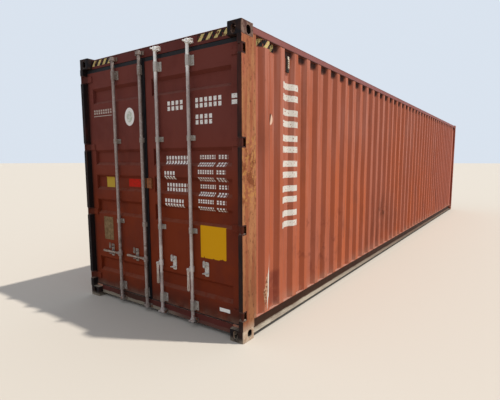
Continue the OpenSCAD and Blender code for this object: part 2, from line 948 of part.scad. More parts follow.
// Keepers on the header and the sill: a plate and a prong above and below each finger
module keeper() {
    face = recess - bar_depth;
    reach = face + bar_r / 2;
    slot_h = finger_t + 2 * keeper_gap;
    outer_h = slot_h + 2 * prong_t;
    half_plate = cam_collar_r + keeper_gap + prong_w;
    translate([face - foot_t, -half_plate, -outer_h / 2])
        cube([foot_t, 2 * half_plate, outer_h]);
    for (side = [-1, 1])
        translate([face - reach, -half_plate, side * (slot_h + prong_t) / 2 - prong_t / 2])
            cube([reach, prong_w, prong_t]);
}

module cam_keepers() {
    color(bar_grey) for (z = [cam_z, height - cam_z]) {
        for (y = right_bars) place_bar(-y) translate([0, 0, z]) keeper();
        for (y = left_bars) place_bar(y) mirror([0, 1, 0]) translate([0, 0, z]) keeper();
    }
}

// Vents

module side_vents() {
    valley_mid = first_face_x + vent_valley * side_pitch - side_slope - side_valley / 2;
    color(vent_grey) on_both_sides()
        translate([
            valley_mid - vent_w / 2,
            -half_w + side_inset + side_depth - vent_t,
            height - vent_drop - vent_h / 2
        ])
            cube([vent_w, vent_t, vent_h]);
}

bottom_corner_castings();
top_corner_castings();
door_posts();
front_posts();
door_header();
door_sill();
front_rails();
top_side_rails();
bottom_side_rails();
left_side_wall();
right_side_wall();
end_wall();
roof_panel();
frame_plates();
floor_sheets();
cross_members();
cam_keepers();
hinge_lugs();
side_vents();
left_door_frame();
left_door_panel();
left_door_seal();
left_door_hinges();
left_door_fittings();
right_door_frame();
right_door_panel();
right_door_seal();
right_door_hinges();
right_door_fittings();
seam_plate();
left_bar(left_bars[1]);  // locking_bar_1
left_bar(left_bars[0]);  // locking_bar_2
right_bar(-right_bars[0]);  // locking_bar_3
right_bar(-right_bars[1]);  // locking_bar_4
left_cams(left_bars[1]);  // cams_1
left_cams(left_bars[0]);  // cams_2
right_cams(-right_bars[0]);  // cams_3
right_cams(-right_bars[1]);  // cams_4
left_handle(left_bars[1]);  // handle_1
left_handle(left_bars[0]);  // handle_2
right_handle(-right_bars[0]);  // handle_3
right_handle(-right_bars[1]);  // handle_4
left_catch(left_bars[1]);  // catch_1
left_catch(left_bars[0]);  // catch_2
right_catch(-right_bars[0]);  // catch_3
right_catch(-right_bars[1]);  // catch_4
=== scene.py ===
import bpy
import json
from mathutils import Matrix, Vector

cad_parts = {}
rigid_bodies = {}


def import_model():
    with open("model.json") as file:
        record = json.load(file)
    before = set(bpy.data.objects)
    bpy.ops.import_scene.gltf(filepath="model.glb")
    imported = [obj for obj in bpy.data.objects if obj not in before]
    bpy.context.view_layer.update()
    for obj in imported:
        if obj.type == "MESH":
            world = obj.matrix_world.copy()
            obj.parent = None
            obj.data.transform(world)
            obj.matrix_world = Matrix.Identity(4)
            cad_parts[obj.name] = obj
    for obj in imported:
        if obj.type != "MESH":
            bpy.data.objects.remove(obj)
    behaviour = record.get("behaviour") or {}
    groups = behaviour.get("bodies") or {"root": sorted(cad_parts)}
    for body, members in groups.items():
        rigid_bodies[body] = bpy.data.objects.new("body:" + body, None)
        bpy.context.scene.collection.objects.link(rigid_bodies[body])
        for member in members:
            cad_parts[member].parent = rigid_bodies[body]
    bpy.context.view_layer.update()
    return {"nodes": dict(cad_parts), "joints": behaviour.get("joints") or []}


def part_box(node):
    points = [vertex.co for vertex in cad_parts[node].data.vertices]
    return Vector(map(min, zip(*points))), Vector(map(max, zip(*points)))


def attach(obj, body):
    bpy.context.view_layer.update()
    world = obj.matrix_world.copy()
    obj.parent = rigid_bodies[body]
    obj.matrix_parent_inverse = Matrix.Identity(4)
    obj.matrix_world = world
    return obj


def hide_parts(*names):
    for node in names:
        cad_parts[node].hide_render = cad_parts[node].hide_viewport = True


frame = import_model()

import json
import math

import bmesh
import bpy
from mathutils import Matrix, Vector, noise

# Sizes and places of the solids, in metres. The doors face -X, and the photographed long side
# faces -Y.

HALF_LENGTH = 6.096
HEIGHT = 2.896
DOORWARD = (-1, 0, 0)
LEAF_FACE = -6.040
FOOT_FACE = LEAF_FACE - 0.006
BLADE_FACE = LEAF_FACE - 0.012
CLEAR_HALF_LENGTH = 5.918
SIDE_WALL_FACE = 1.212
SIDE_WALL_DEPTH = 0.036
WALL_FOOT = 0.186
WALL_TOP = 2.816
FIRST_FLAT_END = -5.871
FIRST_STEP_END = -5.847
FIRST_FACE_START = -5.726
FACE, VALLEY, SLOPE = 0.073, 0.070, 0.068
HINGE_ZS = [share * HEIGHT for share in (0.09, 0.371, 0.643, 0.9195)]
LEFT_BARS = (0.614, 0.158)
RIGHT_BARS = (-0.098, -0.554)
BRACKET_LEVELS = (0.222, 1.0, 1.92, 2.65)
BRACKET_WING = 0.041
RETAINER_LEVELS = (0.566, 0.688)
RETAINER_REACH = 0.180
PIN_END = 0.0112
CROSS_MEMBER_XS = [-5.795 + place * 0.305 for place in range(39)]


def shade(red, green, blue):
    """A paint chip's screen values, 0 to 255, as linear light"""
    def linear(level):
        level /= 255
        return level / 12.92 if level <= 0.04045 else ((level + 0.055) / 1.055) ** 2.4
    return (linear(red), linear(green), linear(blue), 1.0)


# Paint chips of the walls

SIDE_RED = shade(184, 104, 78)
SIDE_ORANGE = shade(204, 100, 48)
SIDE_CHALK = shade(204, 138, 120)
SIDE_DUSKY = shade(182, 106, 94)
SLOPE_SHADE_BROWN = shade(132, 62, 38)
WORN_EDGE_HIGHLIGHT = shade(224, 160, 138)
STAIN_RED = shade(112, 42, 34)
BRUISE_RED = shade(112, 46, 34)
DINT_SHADED = shade(84, 38, 16)
DINT_LIT = shade(250, 212, 184)
BARED_PALE = shade(206, 166, 132)
BARED_DARK = shade(112, 66, 40)

# Paint chips of the door end. The first seven, for the leaves, header, hinges and sill, are darker
# than the walls' chips: partly painted shade

DOOR_SHADED_RED = shade(120, 62, 54)
# Also painted warm light reflected from the ground, for the lower half of the leaves
DOOR_SHADED_BOUNCE_ORANGE = shade(130, 50, 16)
DOOR_SHADED_DEEP = shade(94, 41, 35)
HEADER_SHADED_RED = shade(102, 49, 44)
HINGE_SHADED_RED = shade(88, 48, 42)
SILL_SHADED_RED = shade(96, 43, 37)
SILL_SHADED_DARK = shade(66, 38, 28)
SILL_SCUFF = shade(156, 145, 127)
PRIMER_TAN = shade(190, 129, 87)
PRIMER_BROWN = shade(168, 98, 66)
PRIMER_SCAB = shade(128, 66, 34)
PRIMER_YELLOW = shade(206, 150, 84)
PRIMER_FOOT = shade(112, 62, 38)
PRIMER_PALE = shade(196, 168, 144)

# Paint chips of rails, underframe and castings

FRAME_RED = shade(142, 68, 52)
UNDERFRAME_RED = shade(96, 58, 46)
RAIL_PINK = shade(156, 100, 98)
RAIL_BROWN = shade(146, 80, 64)
CHANNEL_SHADED_BROWN = shade(84, 56, 42)
CHANNEL_DUST = shade(190, 180, 162)
FLANGE_RED = shade(160, 92, 74)
CASTING_BROWN = shade(92, 62, 54)
CASTING_GREY = shade(146, 118, 104)
CASTING_TAN = shade(186, 152, 124)
CASTING_PALE = shade(228, 204, 178)
# Painted shade for the castings' faces at the doors
CASTING_SHADE_BLACK = shade(22, 18, 22)
CASTING_SHADE_BROWN = shade(52, 34, 28)

# Wear and dirt

RUST_DARK = shade(74, 40, 26)
RUST_ORANGE = shade(150, 84, 40)
DUST = shade(196, 180, 158)
GRIME_AND_SHADE = shade(46, 34, 30)
NEAR_BLACK = shade(28, 22, 22)

# Painted marks

MARK_WHITE = shade(240, 234, 222)
FRESH_WHITE = shade(255, 253, 248)
STRIPE_YELLOW = shade(224, 202, 132)
STRIPE_BLACK = shade(26, 24, 24)
PANEL_YELLOW = shade(236, 172, 20)
OCHRE = shade(206, 172, 66)
SIGNAL_RED = shade(206, 40, 26)
DISC_GREEN = shade(168, 184, 156)

# Bare materials and the ground

ZINC_DULL = shade(124, 104, 92)
GREASE = shade(84, 62, 50)
RUBBER_BLACK = shade(22, 22, 27)
RUBBER_DUST = shade(86, 78, 72)
PLY_PALE = shade(150, 112, 74)
PLY_DARK = shade(104, 74, 46)
PLY_WORN = shade(84, 62, 44)
VENT_CREAM = shade(238, 226, 204)
VENT_AGED = shade(206, 186, 160)
GROUND_LIT = shade(140, 128, 112)
GROUND_SEEN = shade(200, 192, 180)


class Value:
    """A shader socket that takes part in sums"""

    def __init__(self, finish, socket):
        self.finish = finish
        self.socket = socket

    def sum_of(self, operation, *terms):
        """One sum of sockets and numbers"""
        return self.finish.node("ShaderNodeMath", {"operation": operation}, dict(enumerate(terms)))

    def __add__(self, other):
        return self.sum_of("ADD", self, other)

    def __radd__(self, other):
        return self.sum_of("ADD", other, self)

    def __sub__(self, other):
        return self.sum_of("SUBTRACT", self, other)

    def __rsub__(self, other):
        return self.sum_of("SUBTRACT", other, self)

    def __mul__(self, other):
        return self.sum_of("MULTIPLY", self, other)

    def __rmul__(self, other):
        return self.sum_of("MULTIPLY", other, self)

    def __truediv__(self, other):
        return self.sum_of("DIVIDE", self, other)

    def __pow__(self, other):
        return self.sum_of("POWER", self, other)

    def __gt__(self, other):
        return self.sum_of("GREATER_THAN", self, other)

    def __lt__(self, other):
        return self.sum_of("LESS_THAN", self, other)

    def __abs__(self):
        return self.sum_of("ABSOLUTE", self)

    def least(self, other):
        return self.sum_of("MINIMUM", self, other)

    def most(self, other):
        return self.sum_of("MAXIMUM", self, other)

    def fraction(self):
        return self.sum_of("FRACT", self)

    def rise(self, low, high):
        """0 below low, 1 above high, and smooth between them"""
        return self.finish.node(
            "ShaderNodeMapRange",
            {"interpolation_type": "SMOOTHSTEP"},
            {"Value": self, "From Min": low, "From Max": high},
        )


class Finish:
    """A procedural finish, and the one way in which its nodes are made"""

    def __init__(self, name, owner=None):
        self.owner = owner or bpy.data.materials.new(name)
        self.owner.use_nodes = True
        self.tree = self.owner.node_tree
        self.tree.nodes.clear()
        self.place = self.node("ShaderNodeTexCoord", {}, {}, "Object")
        facing = self.node("ShaderNodeTexCoord", {}, {}, "Normal")
        self.x, self.y, self.z = (
            self.node("ShaderNodeSeparateXYZ", {}, {0: self.place}, axis) for axis in "XYZ"
        )
        self.faces_x, self.faces_y, self.faces_z = (
            self.node("ShaderNodeSeparateXYZ", {}, {0: facing}, axis) for axis in "XYZ"
        )

    def node(self, kind, settings, sockets, out=0):
        """Adds a node, sets or links its inputs, and gives one of its outputs"""
        node = self.tree.nodes.new(kind)
        for setting, value in settings.items():
            setattr(node, setting, value)
        for key, value in sockets.items():
            if isinstance(value, Value):
                self.tree.links.new(value.socket, node.inputs[key])
            else:
                node.inputs[key].default_value = value
        return Value(self, node.outputs[out]) if len(node.outputs) else None

    def noise(self, scale, detail=4.0, roughness=0.55, stretch=(1, 1, 1), shift=(0, 0, 0)):
        """Cloudy values around 0.5; a stretch under 1 draws them out along that axis"""
        moved = self.node(
            "ShaderNodeMapping", {}, {"Vector": self.place, "Scale": stretch, "Location": shift}
        )
        return self.node(
            "ShaderNodeTexNoise",
            {},
            {"Vector": moved, "Scale": scale, "Detail": detail, "Roughness": roughness},
        )

    def blend(self, amount, first, second):
        """Two colours, the second one by amount"""
        colours = {0: amount, 6: first, 7: second}
        return self.node("ShaderNodeMix", {"data_type": "RGBA"}, colours, 2)

    def rounded(self, radius):
        """The surface's direction, with its edges rounded over"""
        return self.node("ShaderNodeBevel", {"samples": 4}, {"Radius": radius})

    def worn_edges(self, radius=0.006):
        """1 along outer and inner edges, 0 on flats"""
        flat = self.node("ShaderNodeNewGeometry", {}, {}, "Normal")
        likeness = self.node(
            "ShaderNodeVectorMath",
            {"operation": "DOT_PRODUCT"},
            {0: self.rounded(radius), 1: flat},
            "Value",
        )
        return (1 - likeness).rise(0.02, 0.25)

    def surface(self, colour, roughness, height, metallic=0.0, specular=0.2, edge=None):
        """The shader that ends the tree, with corners rounded by edge where it is given"""
        bump = {"Strength": 0.3, "Distance": 0.004, "Height": height}
        if edge:
            bump["Normal"] = self.rounded(edge)
        shader = self.node(
            "ShaderNodeBsdfPrincipled",
            {},
            {
                "Base Color": colour,
                "Roughness": roughness,
                "Metallic": metallic,
                "Specular IOR Level": specular,
                "Normal": self.node("ShaderNodeBump", {}, bump),
            },
        )
        self.node("ShaderNodeOutputMaterial", {}, {"Surface": shader})
        return self.owner


# Shapes of marks

def patch(u, v, left, right, low, high, soft=0.003):
    """A plane patch with soft edges"""
    inside = (u - left).least(right - u).least(v - low).least(high - v)
    return inside.rise(-soft, soft)


def row_of_blocks(u, v, left, right, low, high, pitch, fill=0.62):
    """A row of short upright blocks, each cut once across"""
    blocks = ((u - left) / pitch).fraction() < fill
    middle = (low + high) / 2
    cut = abs(v - middle) > (high - low) * 0.07
    return patch(u, v, left, right, low, high) * blocks * cut


def most_of(masks):
    """The union of several masks"""
    total = masks[0]
    for mask in masks[1:]:
        total = total.most(mask)
    return total


def oval(u, v, half_width, half_height):
    """1 on the edge of an oval round the origin, less inside and more outside"""
    return ((u / half_width) ** 2 + (v / half_height) ** 2) ** 0.5


def hazard_stripes(finish, colour, u, v, left, right, low, high, lean=0.8, pitch=0.1):
    """Slanting yellow and black stripes"""
    bars = ((u - left - (v - low) * lean) / pitch).fraction() < 0.44
    stripes = finish.blend(bars, STRIPE_BLACK, STRIPE_YELLOW)
    worn = finish.noise(38, 3).rise(0.38, 0.46)
    return finish.blend(patch(u, v, left, right, low, high) * worn, colour, stripes)


# Where the marks are: left, right, low and high, and at the end a pitch or a softness. On the
# walls left and right are along X, and on the doors they run from left to right as seen.

WALL_BARS_MIDDLE = -HALF_LENGTH + 0.883
WALL_BARS_SIDES = (WALL_BARS_MIDDLE - 0.18, WALL_BARS_MIDDLE + 0.18)
WALL_BAR_LEVELS = [2.405 - 0.265 * pair + half * 0.058 for pair in range(6) for half in (-1, 1)]
WALL_BAR_RISE = 0.032
WALL_STRIPES = (-5.862, -5.529, 2.742, 2.812)
WALL_STAIN = (-5.63, -5.45, 0.20, 0.56, 0.03)
WALL_DIRT = (-2.5, -1.3, 0.2, 1.05, 0.25)
WALL_KNOCKS = (-2.3, -1.6, 0.70, 0.88, 0.06)
WALL_BRUISES = (-5.1, -3.7, 0.35, 1.05, 0.15)

DOOR_ROWS = [
    (0.226, 0.462, 2.204, 2.296, 0.060), (0.616, 0.958, 2.204, 2.296, 0.058),
    (1.063, 1.131, 2.204, 2.296, 0.110), (0.616, 0.845, 2.048, 2.140, 0.058),
    (0.152, 0.475, 1.665, 1.749, 0.042), (0.152, 0.315, 1.508, 1.592, 0.042),
    (0.152, 0.450, 1.383, 1.467, 0.042), (0.152, 0.425, 1.221, 1.305, 0.042),
]
for low in [1.716 - 0.0719 * row for row in range(8)]:
    DOOR_ROWS.append((0.632, 0.830, low, low + 0.038, 0.031))
    DOOR_ROWS.append((0.872, 0.985, low, low + 0.038, 0.037))
FAINT_ROW = (-1.056, -0.715, 2.250, 2.300, 0.045)
FAINT_LINE = (-1.062, -0.712, 2.222, 2.230)
YELLOW_PANEL = (0.653, 0.982, 0.740, 1.065)
YELLOW_PANEL_FOOT = 0.79
WHITE_STRIP = (0.890, 1.020, 0.235, 0.271)
OCHRE_SQUARE = (-0.912, -0.758, 1.385, 1.510)
RED_STRIP = (-0.490, -0.270, 1.405, 1.495)
HEADER_STRIPES = [(left, left + 0.39, 2.806, 2.866) for left in (-1.050, 0.660)]

# Middles and half sizes of the oval marks

POCK_MIDDLE, POCK_HALVES = (-5.577, 2.105), (0.042, 0.056)
DISC_MIDDLE, DISC_HALVES = (-0.39, 2.185), (0.083, 0.1)


# Weathering that every painted part shares

def weathered(finish, colour, rust=0.5, dust_height=0.35, settle=1.0):
    """Rust, grime and dust over a painted colour; gives colour, roughness and height"""
    runs = finish.noise(5, 5, 0.6, stretch=(9, 9, 0.35)).rise(0.60, 0.78)
    broad = finish.noise(0.9, 3, 0.5, shift=(3.1, 0.7, 1.9)).rise(0.42, 0.72)
    colour = finish.blend(runs * broad * 0.45, colour, RUST_ORANGE)
    spots = finish.noise(26, 6, 0.68).rise(0.69 - 0.06 * rust, 0.73 - 0.06 * rust)
    zones = finish.noise(1.7, 3, 0.5, shift=(5.3, 2.2, 0.4)).rise(0.46, 0.62)
    spots = spots * zones
    colour = finish.blend(spots * 0.9, colour, RUST_DARK)
    chips = finish.worn_edges() * finish.noise(30, 4, 0.6, shift=(1, 2, 3)).rise(0.46, 0.58)
    colour = finish.blend(chips * (0.35 + 0.5 * rust), colour, RUST_DARK)
    grime = finish.noise(3.2, 5, 0.6, stretch=(1, 1, 0.5), shift=(8, 1, 6)).rise(0.52, 0.75)
    colour = finish.blend(grime * 0.22, colour, GRIME_AND_SHADE)
    dusty = (1 - finish.z.rise(0.0, dust_height)) * finish.noise(7, 5, 0.65).rise(0.3, 0.62)
    settled = finish.faces_z.rise(0.3, 0.9) * finish.noise(12, 4).rise(0.25, 0.55)
    dusty = dusty.most(settled * settle)
    colour = finish.blend(dusty * 0.55, colour, DUST)
    fine = finish.noise(220, 2, 0.5)
    rough = 0.55 + 0.25 * finish.noise(9, 3) + 0.15 * spots + 0.12 * dusty
    height = fine * 0.12 - spots * 0.5 - chips * 0.35 + finish.noise(3, 2) * 0.6
    return colour, rough, height


def tan_primer(finish, colour, amount):
    """Streaky tan primer, as on the door posts"""
    streaks = finish.noise(6, 5, 0.6, stretch=(3, 3, 0.2))
    tan = finish.blend(streaks.rise(0.4, 0.6), PRIMER_TAN, PRIMER_BROWN)
    reds = finish.noise(2.6, 4, 0.6, stretch=(1, 1, 0.5), shift=(4, 1, 7)).rise(0.52, 0.66)
    tan = finish.blend(reds * 0.7, tan, SIDE_RED)
    scabs = finish.noise(15, 6, 0.7, stretch=(1, 1, 0.6)).rise(0.50, 0.57)
    level = finish.z.rise(1.2, 1.35) * (1 - finish.z.rise(1.85, 2.0))
    tan = finish.blend(scabs * (0.15 + 0.65 * level), tan, PRIMER_SCAB)
    flecks = finish.noise(42, 5, 0.7, stretch=(1, 1, 0.4), shift=(2, 6, 1)).rise(0.56, 0.62)
    tan = finish.blend(flecks * 0.55, tan, RUST_DARK)
    yellowed = finish.noise(30, 4, 0.6, shift=(9, 2, 3)).rise(0.52, 0.62) * level
    tan = finish.blend(yellowed * 0.6, tan, PRIMER_YELLOW)
    tan = finish.blend((1 - finish.z.rise(0.5, 1.1)) * 0.3, tan, PRIMER_FOOT)
    pale = (1 - finish.z.rise(0.10, 0.21)) * finish.noise(14, 4).rise(0.3, 0.5)
    tan = finish.blend(pale * 0.9, tan, PRIMER_PALE)
    return finish.blend(amount, colour, tan)


def scraped(finish, colour):
    """A leaning white scrape by the door post, with torn paint beside it"""
    x, z = finish.x, finish.z
    drift = (finish.noise(7, 4) - 0.5) * 0.05
    line = x + 5.655 - (z - 0.46) * 0.1 + drift
    torn = (0.048 - abs(z - 0.40) * 0.26 - abs(line + 0.036)).rise(-0.004, 0.004)
    ragged = finish.noise(34, 4).rise(0.44, 0.56)
    bared = finish.blend(ragged, BARED_PALE, BARED_DARK)
    colour = finish.blend(torn * 0.85, colour, bared)
    scrape = (0.021 - abs(z - 0.48) * 0.072 - abs(line)).rise(-0.003, 0.003)
    return finish.blend(scrape, colour, MARK_WHITE)


def wall_paint(name, marked):
    """Paint of the corrugated sheets, and where marked the side walls' marks and damage"""
    finish = Finish(name)
    x, z = finish.x, finish.z
    tone = finish.noise(1.3, 4, 0.6, stretch=(1, 1, 0.3))
    colour = finish.blend(tone.rise(0.35, 0.7) * (1.1 - z * 0.3), SIDE_RED, SIDE_ORANGE)
    chalk = finish.noise(4, 5, 0.6, stretch=(3, 3, 0.3), shift=(2, 9, 4)).rise(0.4, 0.75)
    colour = finish.blend(chalk * (0.2 + 0.6 * z.rise(0.9, 2.6)), colour, SIDE_CHALK)
    colour = finish.blend(x.rise(-1.0, 5.0) * 0.45, colour, SIDE_DUSKY)
    # Painted shade: the sloping faces of the corrugation are darker
    slope_shade = abs(finish.faces_x).rise(0.2, 0.45)
    colour = finish.blend(slope_shade * 0.5, colour, SLOPE_SHADE_BROWN)
    # Pale worn edges, partly a painted highlight along the corrugation's edges
    colour = finish.blend(finish.worn_edges(0.011) * 0.6, colour, WORN_EDGE_HIGHLIGHT)
    if marked:
        inside = colour
        colour = tan_primer(finish, colour, 1 - x.rise(-5.874, -5.868))
        # Painted shadow of the top rail: the tops of the recesses are near black
        rail_shadow = 1 - abs(finish.y).rise(SIDE_WALL_FACE - 0.028, SIDE_WALL_FACE - 0.004)
        colour = finish.blend(rail_shadow * z.rise(2.722, 2.772) * 0.88, colour, NEAR_BLACK)
        worn = finish.noise(60, 4, 0.6).rise(0.36, 0.40)
        bars = [
            patch(x, z, *WALL_BARS_SIDES, level - WALL_BAR_RISE, level + WALL_BAR_RISE)
            for level in WALL_BAR_LEVELS
        ]
        colour = finish.blend(most_of(bars) * worn, colour, MARK_WHITE)
        colour = hazard_stripes(finish, colour, x, z, *WALL_STRIPES, 0.9, 0.118)
        unharmed = colour
        uneven = 0.45 + 0.55 * finish.noise(9, 4).rise(0.3, 0.6)
        stain = patch(x, z, *WALL_STAIN) * uneven
        colour = finish.blend(stain * 0.6, colour, STAIN_RED)
        colour = scraped(finish, colour)
        dirt = finish.noise(5, 5, 0.6, stretch=(3, 3, 0.5), shift=(1, 1, 8)).rise(0.4, 0.6)
        colour = finish.blend(dirt * patch(x, z, *WALL_DIRT) * 0.3, colour, GRIME_AND_SHADE)
        knocks = finish.noise(11, 4, 0.7, shift=(4, 4, 1)).rise(0.5, 0.58)
        knocks = knocks * patch(x, z, *WALL_KNOCKS)
        colour = finish.blend(knocks * 0.55, colour, RUST_DARK)
        bruises = finish.noise(8, 5, 0.7, shift=(6, 3, 2)).rise(0.54, 0.64)
        bruises = bruises * patch(x, z, *WALL_BRUISES)
        colour = finish.blend(bruises * 0.4, colour, BRUISE_RED)
        across, up = x - POCK_MIDDLE[0], z - POCK_MIDDLE[1]
        pock = 1 - oval(across, up, *POCK_HALVES).rise(0.8, 1.1)
        far_side = (across - 0.003 - up * 0.25).rise(-0.005, 0.005)
        dint = finish.blend(far_side, DINT_SHADED, DINT_LIT)
        colour = finish.blend(pock, colour, dint)
        # The far wall has the marks without the damage, and no wall has either inside
        colour = finish.blend(finish.y.rise(-0.5, 0.5), colour, unharmed)
        outward = (finish.faces_y * finish.y).rise(0.2, 0.6)
        colour = finish.blend(outward, inside, colour)
    colour, rough, height = weathered(finish, colour, 0.35, settle=0.3)
    return finish.surface(colour, rough, height)


def door_paint(name):
    """Paint of the leaves, with the marks on their outward faces"""
    finish = Finish(name)
    u, z = finish.y * -1, finish.z
    # Painted warm light reflected from the ground: the lower half of the leaves is oranger
    ground_bounce = 1 - z.rise(1.1, 2.15)
    colour = finish.blend(ground_bounce * 0.85, DOOR_SHADED_RED, DOOR_SHADED_BOUNCE_ORANGE)
    tone = finish.noise(2.2, 4, 0.6).rise(0.4, 0.7)
    colour = finish.blend(tone * 0.45, colour, DOOR_SHADED_DEEP)
    foot = (1 - z.rise(0.15, 0.42)) * finish.noise(3, 4, 0.6).rise(0.35, 0.6)
    foot = foot.most((1 - z.rise(0.17, 0.27)) * (1 - u.rise(-0.2, 0.5) * 0.5))
    colour = finish.blend(foot * 0.6, colour, GRIME_AND_SHADE)
    # Painted shade along the leaves' hinge edges, beside the posts
    colour = finish.blend(abs(u).rise(1.115, 1.16) * 0.55, colour, GRIME_AND_SHADE)
    colour, rough, height = weathered(finish, colour, 0.3, 0.25, settle=0.12)
    # A near-black strip on the left leaf beside the seam
    seam_strip = (0 - u).rise(0.118, 0.130) * (1 - (0 - u).rise(0.172, 0.186))
    colour = finish.blend(seam_strip * 0.92, colour, NEAR_BLACK)
    inside = colour
    worn = finish.noise(75, 4, 0.6).rise(0.36, 0.41)
    rows = most_of([row_of_blocks(u, z, *row) for row in DOOR_ROWS])
    colour = finish.blend(rows * worn, colour, FRESH_WHITE)
    faint = row_of_blocks(u, z, *FAINT_ROW).most(patch(u, z, *FAINT_LINE))
    colour = finish.blend(faint * worn * 0.6, colour, MARK_WHITE)
    ragged = (z - YELLOW_PANEL_FOOT + finish.noise(14, 4) * 0.11).rise(-0.001, 0.001)
    colour = finish.blend(patch(u, z, *YELLOW_PANEL) * ragged, colour, PANEL_YELLOW)
    colour = finish.blend(patch(u, z, *WHITE_STRIP), colour, FRESH_WHITE)
    disc = oval(u - DISC_MIDDLE[0], z - DISC_MIDDLE[1], *DISC_HALVES)
    colour = finish.blend(1 - disc.rise(0.97, 1.0), colour, FRESH_WHITE)
    inner = (1 - disc.rise(0.55, 0.66)) * finish.noise(30, 3).rise(0.3, 0.6)
    colour = finish.blend(inner * 0.6, colour, DISC_GREEN)
    colour = finish.blend(patch(u, z, *OCHRE_SQUARE), colour, OCHRE)
    colour = finish.blend(patch(u, z, *RED_STRIP) * worn, colour, SIGNAL_RED)
    outward = (finish.faces_x * -1).rise(0.2, 0.5)
    colour = finish.blend(outward, inside, colour)
    return finish.surface(colour, rough, height, specular=0.1)


def frame_paint(name, base, faded, rust, dust_height=0.35):
    """Plain paint that has faded in patches"""
    finish = Finish(name)
    tone = finish.noise(2.4, 4, 0.6, stretch=(1, 1, 0.4)).rise(0.35, 0.7)
    colour, rough, height = weathered(finish, finish.blend(tone, base, faded), rust, dust_height)
    return finish.surface(colour, rough, height)


def top_rail_paint(name):
    """Faded pink, darker along both rims"""
    finish = Finish(name)
    tone = finish.noise(3, 5, 0.6, stretch=(0.4, 1, 1)).rise(0.35, 0.7)
    colour = finish.blend(tone * 0.6, RAIL_PINK, RAIL_BROWN)
    rim = finish.z.rise(2.868, 2.872).most(1 - finish.z.rise(2.818, 2.826))
    colour = finish.blend(rim * 0.65, colour, GRIME_AND_SHADE)
    colour, rough, height = weathered(finish, colour, 0.6)
    return finish.surface(colour, rough, height)


def channel_paint(name):
    """The open bottom rail: a dark web, partly painted shade under its top flange, dusty flanges
    and a line of dirt in the corner
    """
    finish = Finish(name)
    tone = finish.noise(4, 5, 0.6, stretch=(0.4, 1, 1)).rise(0.35, 0.7)
    # The web's dark brown is partly painted shade under the top flange
    colour = finish.blend(tone * 0.7, CHANNEL_SHADED_BROWN, RUST_DARK)
    outer = abs(finish.y).rise(SIDE_WALL_FACE - 0.006, SIDE_WALL_FACE - 0.002)
    upper = finish.z.rise(0.1, 0.15)
    colour = finish.blend(outer.most(finish.faces_z) * upper, colour, FLANGE_RED)
    settled = finish.faces_z.rise(0.3, 0.9) * (1 - upper * 0.7)
    drift = finish.z + (finish.noise(8, 5, 0.65) - 0.5) * 0.03
    settled = settled.most((1 - drift.rise(0.052, 0.062)) * 0.8)
    settled = settled * (1 - (finish.x + HALF_LENGTH).rise(1.5, 7.0) * 0.7)
    patchy = finish.noise(6, 5, 0.65, stretch=(0.5, 1, 1)).rise(0.3, 0.6)
    patchy = patchy * (1.1 - (finish.x + HALF_LENGTH).rise(0.5, 4.0) * 0.75)
    colour = finish.blend(settled * (0.4 + 0.5 * patchy), colour, CHANNEL_DUST)
    colour, rough, height = weathered(finish, colour, 0.8, 0.06, settle=0.2)
    return finish.surface(colour, rough, height)


def sill_paint(name):
    """Dark above, with a pale scuffed band along the foot that fades away from the left side"""
    finish = Finish(name)
    u, z = finish.y * -1, finish.z
    tone = finish.noise(5, 5, 0.6, stretch=(1, 0.4, 1)).rise(0.35, 0.7)
    colour = finish.blend(tone, SILL_SHADED_RED, SILL_SHADED_DARK)
    edge = z + (finish.noise(9, 5, 0.65) - 0.5) * 0.03
    band = (1 - edge.rise(0.074, 0.082)) * (1 - u.rise(0.0, 0.45) * 0.85)
    colour = finish.blend(band * 0.85, colour, SILL_SCUFF)
    colour, rough, height = weathered(finish, colour, 0.9, 0.05)
    return finish.surface(colour, rough, height)


def header_paint(name):
    """Dark red with striped ends on its outward face"""
    finish = Finish(name)
    u, z = finish.y * -1, finish.z
    colour = finish.blend(finish.noise(3, 4).rise(0.4, 0.7), HEADER_SHADED_RED, DOOR_SHADED_DEEP)
    colour = finish.blend(z.rise(2.866, 2.870) * 0.8, colour, NEAR_BLACK)
    inside = colour
    for place in HEADER_STRIPES:
        colour = hazard_stripes(finish, colour, u, z, *place)
    outward = (finish.faces_x * -1).rise(0.2, 0.5)
    colour = finish.blend(outward, inside, colour)
    colour, rough, height = weathered(finish, colour, 0.5)
    return finish.surface(colour, rough, height, specular=0.15)


def post_paint(name):
    """Nearly black at the doors, a painted shade, and tan primer on the long sides"""
    finish = Finish(name)
    # Painted shade: all but the outward side faces are near black, with red streaks
    streaks = finish.noise(5, 4, 0.6, stretch=(1, 1, 0.3)).rise(0.5, 0.8)
    colour = finish.blend(streaks * 0.35, NEAR_BLACK, FRAME_RED)
    colour = tan_primer(finish, colour, (finish.faces_y * finish.y).rise(0.4, 0.8))
    colour, rough, height = weathered(finish, colour, 0.7, 0.16)
    return finish.surface(colour, rough, height, specular=0.15)


def casting_steel(name):
    """Cast steel: painted shade, near black, at the doors, paler low down, painted at the blind
    end
    """
    finish = Finish(name)
    low = 1 - finish.z.rise(0.3, 0.5)
    tone = finish.noise(14, 5, 0.65)
    upper = finish.blend(tone.rise(0.4, 0.6), CASTING_BROWN, CASTING_GREY)
    lower = finish.blend(tone.rise(0.35, 0.65), CASTING_TAN, CASTING_PALE)
    outward = (finish.faces_y * finish.y).rise(0.4, 0.8)
    # Painted shade: all but the outward side faces are near black
    door_face_shade = finish.blend(tone.rise(0.4, 0.65), CASTING_SHADE_BLACK, CASTING_SHADE_BROWN)
    painted = finish.blend(tone.rise(0.4, 0.65), SIDE_RED, FRAME_RED)
    blind_end = finish.x.rise(-1, 1)
    colour = finish.blend(outward, door_face_shade, finish.blend(low, upper, lower))
    colour = finish.blend(blind_end * 0.85, colour, painted)
    pitted = finish.noise(60, 5, 0.7)
    colour, rough, height = weathered(finish, colour, 0.6, 0.06)
    return finish.surface(colour, rough, height + pitted * 0.6, specular=0.15, edge=0.005)


